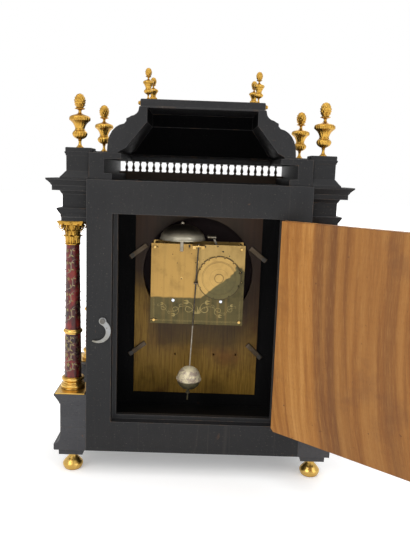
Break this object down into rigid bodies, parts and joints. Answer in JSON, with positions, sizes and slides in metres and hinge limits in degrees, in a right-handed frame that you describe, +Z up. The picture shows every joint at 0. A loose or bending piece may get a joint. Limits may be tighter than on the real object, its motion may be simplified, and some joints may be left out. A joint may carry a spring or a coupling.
{
  "type": "mantel clock",
  "caption": "Ebonised table clock with gilt mounts, turned columns, a bell-shaped hood, an open rear door and a brass movement with pendulum and bell.",
  "frame": {"origin": "on the surface that the clock stands on, under the middle of the case body", "axes": "+Z up, -Y towards the dial side, +Y towards the rear door, +X to the right seen from the dial side"},
  "size_m": [0.4931, 0.3674, 0.5615],
  "materials": {
    "ebonised_wood": "satin",
    "ebonised_dark": "satin",
    "door_walnut": "satin",
    "red_shell": "gloss",
    "gilt_brass": "polished",
    "plate_brass": "satin",
    "old_brass": "worn",
    "steel": "satin",
    "blued_steel": "polished",
    "dark_bronze": "patinated",
    "mask_gold": "worn",
    "velvet": "matt",
    "clear_glass": "gloss",
    "bob_brass": "worn",
    "iron": "worn",
    "rail_wood": "satin"
  },
  "bodies": {
    "case": {"back_frame": "ebonised_wood", "case_sides": "ebonised_wood", "case_boards": "ebonised_dark", "front_frame": "ebonised_dark", "base_front": "ebonised_wood", "base_course": "ebonised_wood", "foot_blocks": "ebonised_dark", "bun_feet": "gilt_brass", "pedestals": "ebonised_wood", "plinth_plates": "gilt_brass", "column_bases": "gilt_brass", "column_shafts": "red_shell", "column_rings": "gilt_brass", "capitals": "gilt_brass", "side_entablatures": "ebonised_wood", "front_entablature": "ebonised_wood", "attic_pedestals": "ebonised_wood", "corner_finials": "gilt_brass", "gallery_frame": "ebonised_wood", "balustrade": "rail_wood", "hood": "ebonised_wood", "hood_top": "ebonised_wood", "top_bosses": "gilt_brass", "top_finials": "gilt_brass", "back_hinges": "old_brass", "screws": "steel", "front_hinges": "gilt_brass", "mask_board": "mask_gold", "dial_ground": "velvet", "chapter_ring": "gilt_brass", "front_plate": "plate_brass", "back_plate": "plate_brass", "pillars": "plate_brass", "bell": "dark_bronze", "bell_stand": "iron", "cocks": "plate_brass"},
    "back_door": {"back_door": "door_walnut", "back_door_leaves": "old_brass"},
    "door_hook": {"door_hook": "steel"},
    "front_door": {"front_door": "red_shell", "front_glass": "clear_glass", "door_mounts": "gilt_brass"},
    "clip_ul": {"clip_upper_left": "iron"},
    "clip_ur": {"clip_upper_right": "iron"},
    "clip_ll": {"clip_lower_left": "iron"},
    "clip_lr": {"clip_lower_right": "iron"},
    "minute": {"centre_arbor": "steel", "minute_hand": "blued_steel"},
    "hour": {"hour_wheel": "plate_brass", "hour_hand": "blued_steel"},
    "minute_wheel": {"minute_wheel": "plate_brass"},
    "going_second": {"going_second": "plate_brass"},
    "going_barrel": {"going_barrel": "plate_brass"},
    "contrate": {"contrate_wheel": "plate_brass"},
    "crown": {"crown_wheel": "plate_brass"},
    "strike_second": {"strike_second": "plate_brass"},
    "strike_barrel": {"strike_barrel": "plate_brass"},
    "hammer": {"hammer": "steel"},
    "crutch": {"crutch": "steel"},
    "pendulum": {"pendulum": "bob_brass"}
  },
  "joints": [
    {"name": "back_door_hinge", "type": "hinge", "parent": "case", "child": "back_door", "pos_m": [-0.1165, 0.0932, 0.2], "axis": [0, 0, 1], "range_deg": [-139, 36]},
    {"name": "hook_pivot", "type": "hinge", "parent": "case", "child": "door_hook", "pos_m": [0.1271, 0.091, 0.226], "axis": [0, 1, 0], "range_deg": [0, 100]},
    {"name": "front_door_hinge", "type": "hinge", "parent": "case", "child": "front_door", "pos_m": [0.1472, -0.0938, 0.25], "axis": [0, 0, 1], "range_deg": [0, 95]},
    {"name": "clip_ul_pivot", "type": "hinge", "parent": "case", "child": "clip_ul", "pos_m": [0.104, -0.058, 0.297], "axis": [0, 1, 0], "range_deg": [0, 90]},
    {"name": "clip_ur_pivot", "type": "hinge", "parent": "case", "child": "clip_ur", "pos_m": [-0.104, -0.058, 0.297], "axis": [0, -1, 0], "range_deg": [0, 90]},
    {"name": "clip_ll_pivot", "type": "hinge", "parent": "case", "child": "clip_ll", "pos_m": [0.104, -0.058, 0.137], "axis": [0, 1, 0], "range_deg": [0, 90]},
    {"name": "clip_lr_pivot", "type": "hinge", "parent": "case", "child": "clip_lr", "pos_m": [-0.104, -0.058, 0.137], "axis": [0, -1, 0], "range_deg": [0, 90]},
    {"name": "minute_arbor", "type": "hinge", "parent": "case", "child": "minute", "pos_m": [0, -0.02, 0.273], "axis": [0, 1, 0], "continuous": true},
    {"name": "hour_pipe", "type": "hinge", "parent": "case", "child": "hour", "pos_m": [0, -0.06, 0.273], "axis": [0, 1, 0], "continuous": true},
    {"name": "minute_wheel_stud", "type": "hinge", "parent": "case", "child": "minute_wheel", "pos_m": [0.015, -0.05, 0.25809], "axis": [0, 1, 0], "continuous": true},
    {"name": "going_second_arbor", "type": "hinge", "parent": "case", "child": "going_second", "pos_m": [0.02415, -0.02, 0.27315], "axis": [0, 1, 0], "continuous": true},
    {"name": "going_barrel_arbor", "type": "hinge", "parent": "case", "child": "going_barrel", "pos_m": [0.036, -0.02, 0.239], "axis": [0, 1, 0], "continuous": true},
    {"name": "contrate_arbor", "type": "hinge", "parent": "case", "child": "contrate", "pos_m": [0, -0.02, 0.29815], "axis": [0, 1, 0], "continuous": true},
    {"name": "crown_arbor", "type": "hinge", "parent": "case", "child": "crown", "pos_m": [0, -0.023, 0.30815], "axis": [0, 0, 1], "continuous": true},
    {"name": "count_wheel_arbor", "type": "hinge", "parent": "case", "child": "strike_second", "pos_m": [-0.032, 0, 0.27493], "axis": [0, 1, 0], "continuous": true},
    {"name": "strike_barrel_arbor", "type": "hinge", "parent": "case", "child": "strike_barrel", "pos_m": [-0.036, -0.02, 0.239], "axis": [0, 1, 0], "continuous": true},
    {"name": "hammer_arbor", "type": "hinge", "parent": "case", "child": "hammer", "pos_m": [-0.033, -0.02, 0.307], "axis": [0, 1, 0], "range_deg": [-8, 5]},
    {"name": "verge_arbor", "type": "hinge", "parent": "case", "child": "crutch", "pos_m": [0, 0, 0.3195], "axis": [0, 1, 0], "range_deg": [-6, 11]},
    {"name": "pendulum_suspension", "type": "hinge", "parent": "case", "child": "pendulum", "pos_m": [0, 0.0095, 0.3243], "axis": [0, 1, 0], "range_deg": [-5, 10]}
  ],
  "couplings": [
    {"joint": "hour_pipe", "follows": "minute_arbor", "ratio": 0.083333},
    {"joint": "minute_wheel_stud", "follows": "minute_arbor", "ratio": -0.5},
    {"joint": "going_second_arbor", "follows": "minute_arbor", "ratio": -0.33333},
    {"joint": "going_barrel_arbor", "follows": "minute_arbor", "ratio": 0.066667},
    {"joint": "contrate_arbor", "follows": "minute_arbor", "ratio": -4},
    {"joint": "crown_arbor", "follows": "minute_arbor", "ratio": 20},
    {"joint": "strike_barrel_arbor", "follows": "count_wheel_arbor", "ratio": -0.2},
    {"joint": "verge_arbor", "follows": "pendulum_suspension", "ratio": 1.0923}
  ]
}
